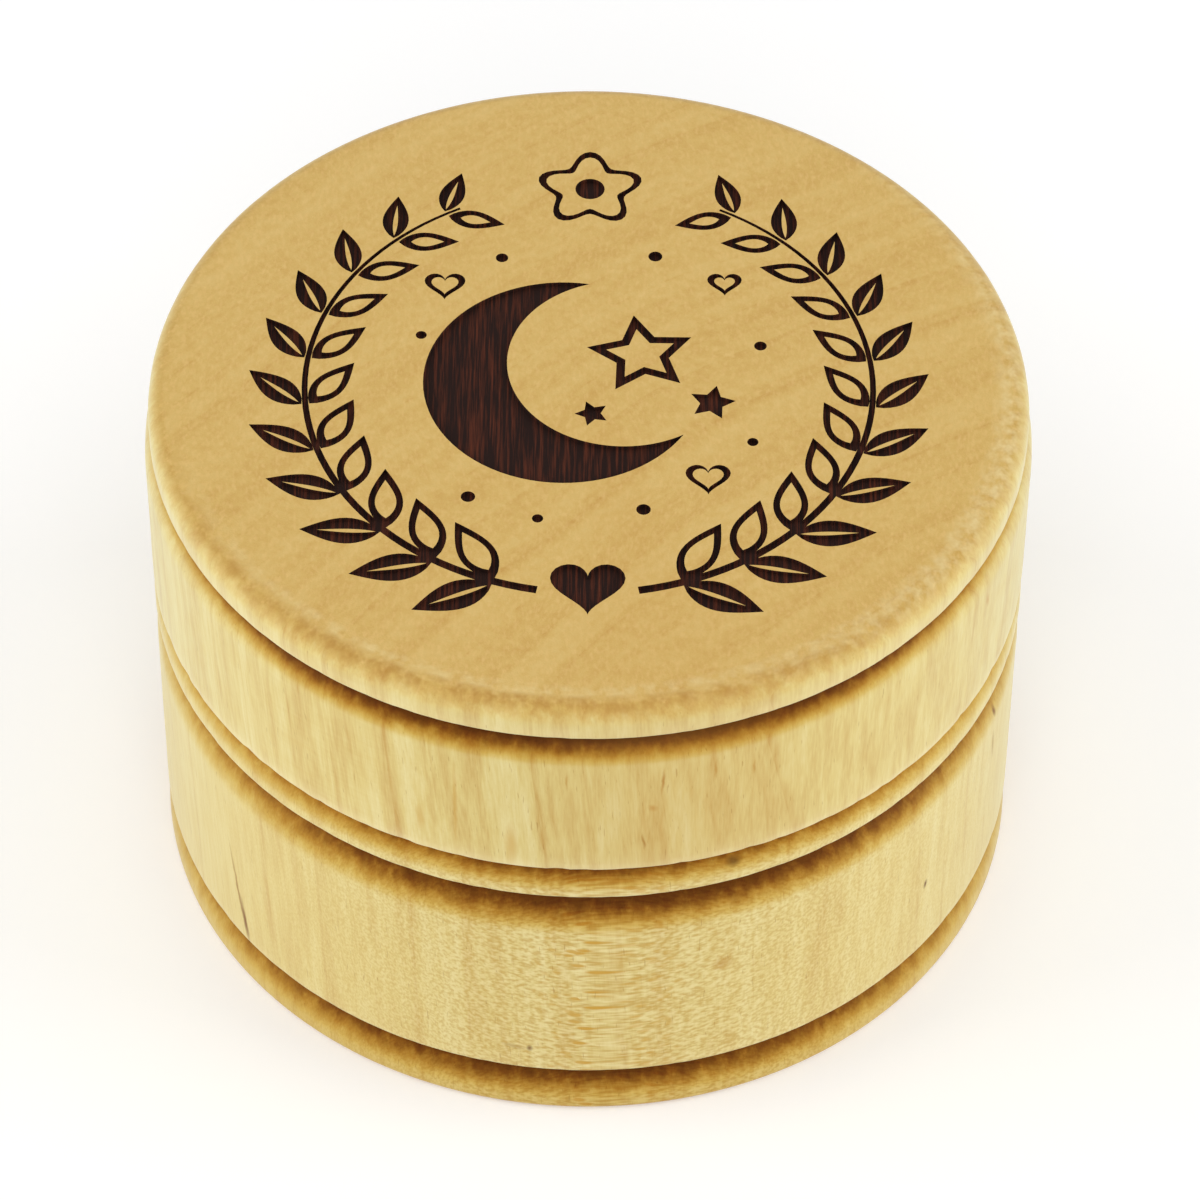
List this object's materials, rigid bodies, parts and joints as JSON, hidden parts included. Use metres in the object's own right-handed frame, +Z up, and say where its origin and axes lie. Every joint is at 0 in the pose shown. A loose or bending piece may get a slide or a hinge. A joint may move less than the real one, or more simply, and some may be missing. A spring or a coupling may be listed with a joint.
{
  "type": "turned keepsake box",
  "caption": "Small round turned wooden keepsake box for baby teeth: a hollow base with notched bands and a spigot, and a push-on lid with a rounded rim and an engraved top that lifts off.",
  "frame": {"origin": "centre of the base's underside, on the table", "axes": "+Z up along the turning axis, -Y towards the viewer of the picture, +X to the viewer's right"},
  "size_m": [0.056, 0.056, 0.038],
  "materials": {
    "maple": "turned, sanded and lightly waxed, with laser-burnt lines on the lid's top"
  },
  "bodies": {
    "base": {"base": "maple"},
    "lid": {"lid": "maple"}
  },
  "joints": [
    {"name": "lid_lift", "type": "slide", "parent": "base", "child": "lid", "axis": [0, 0, 1], "range_m": [0, 0.06]}
  ]
}
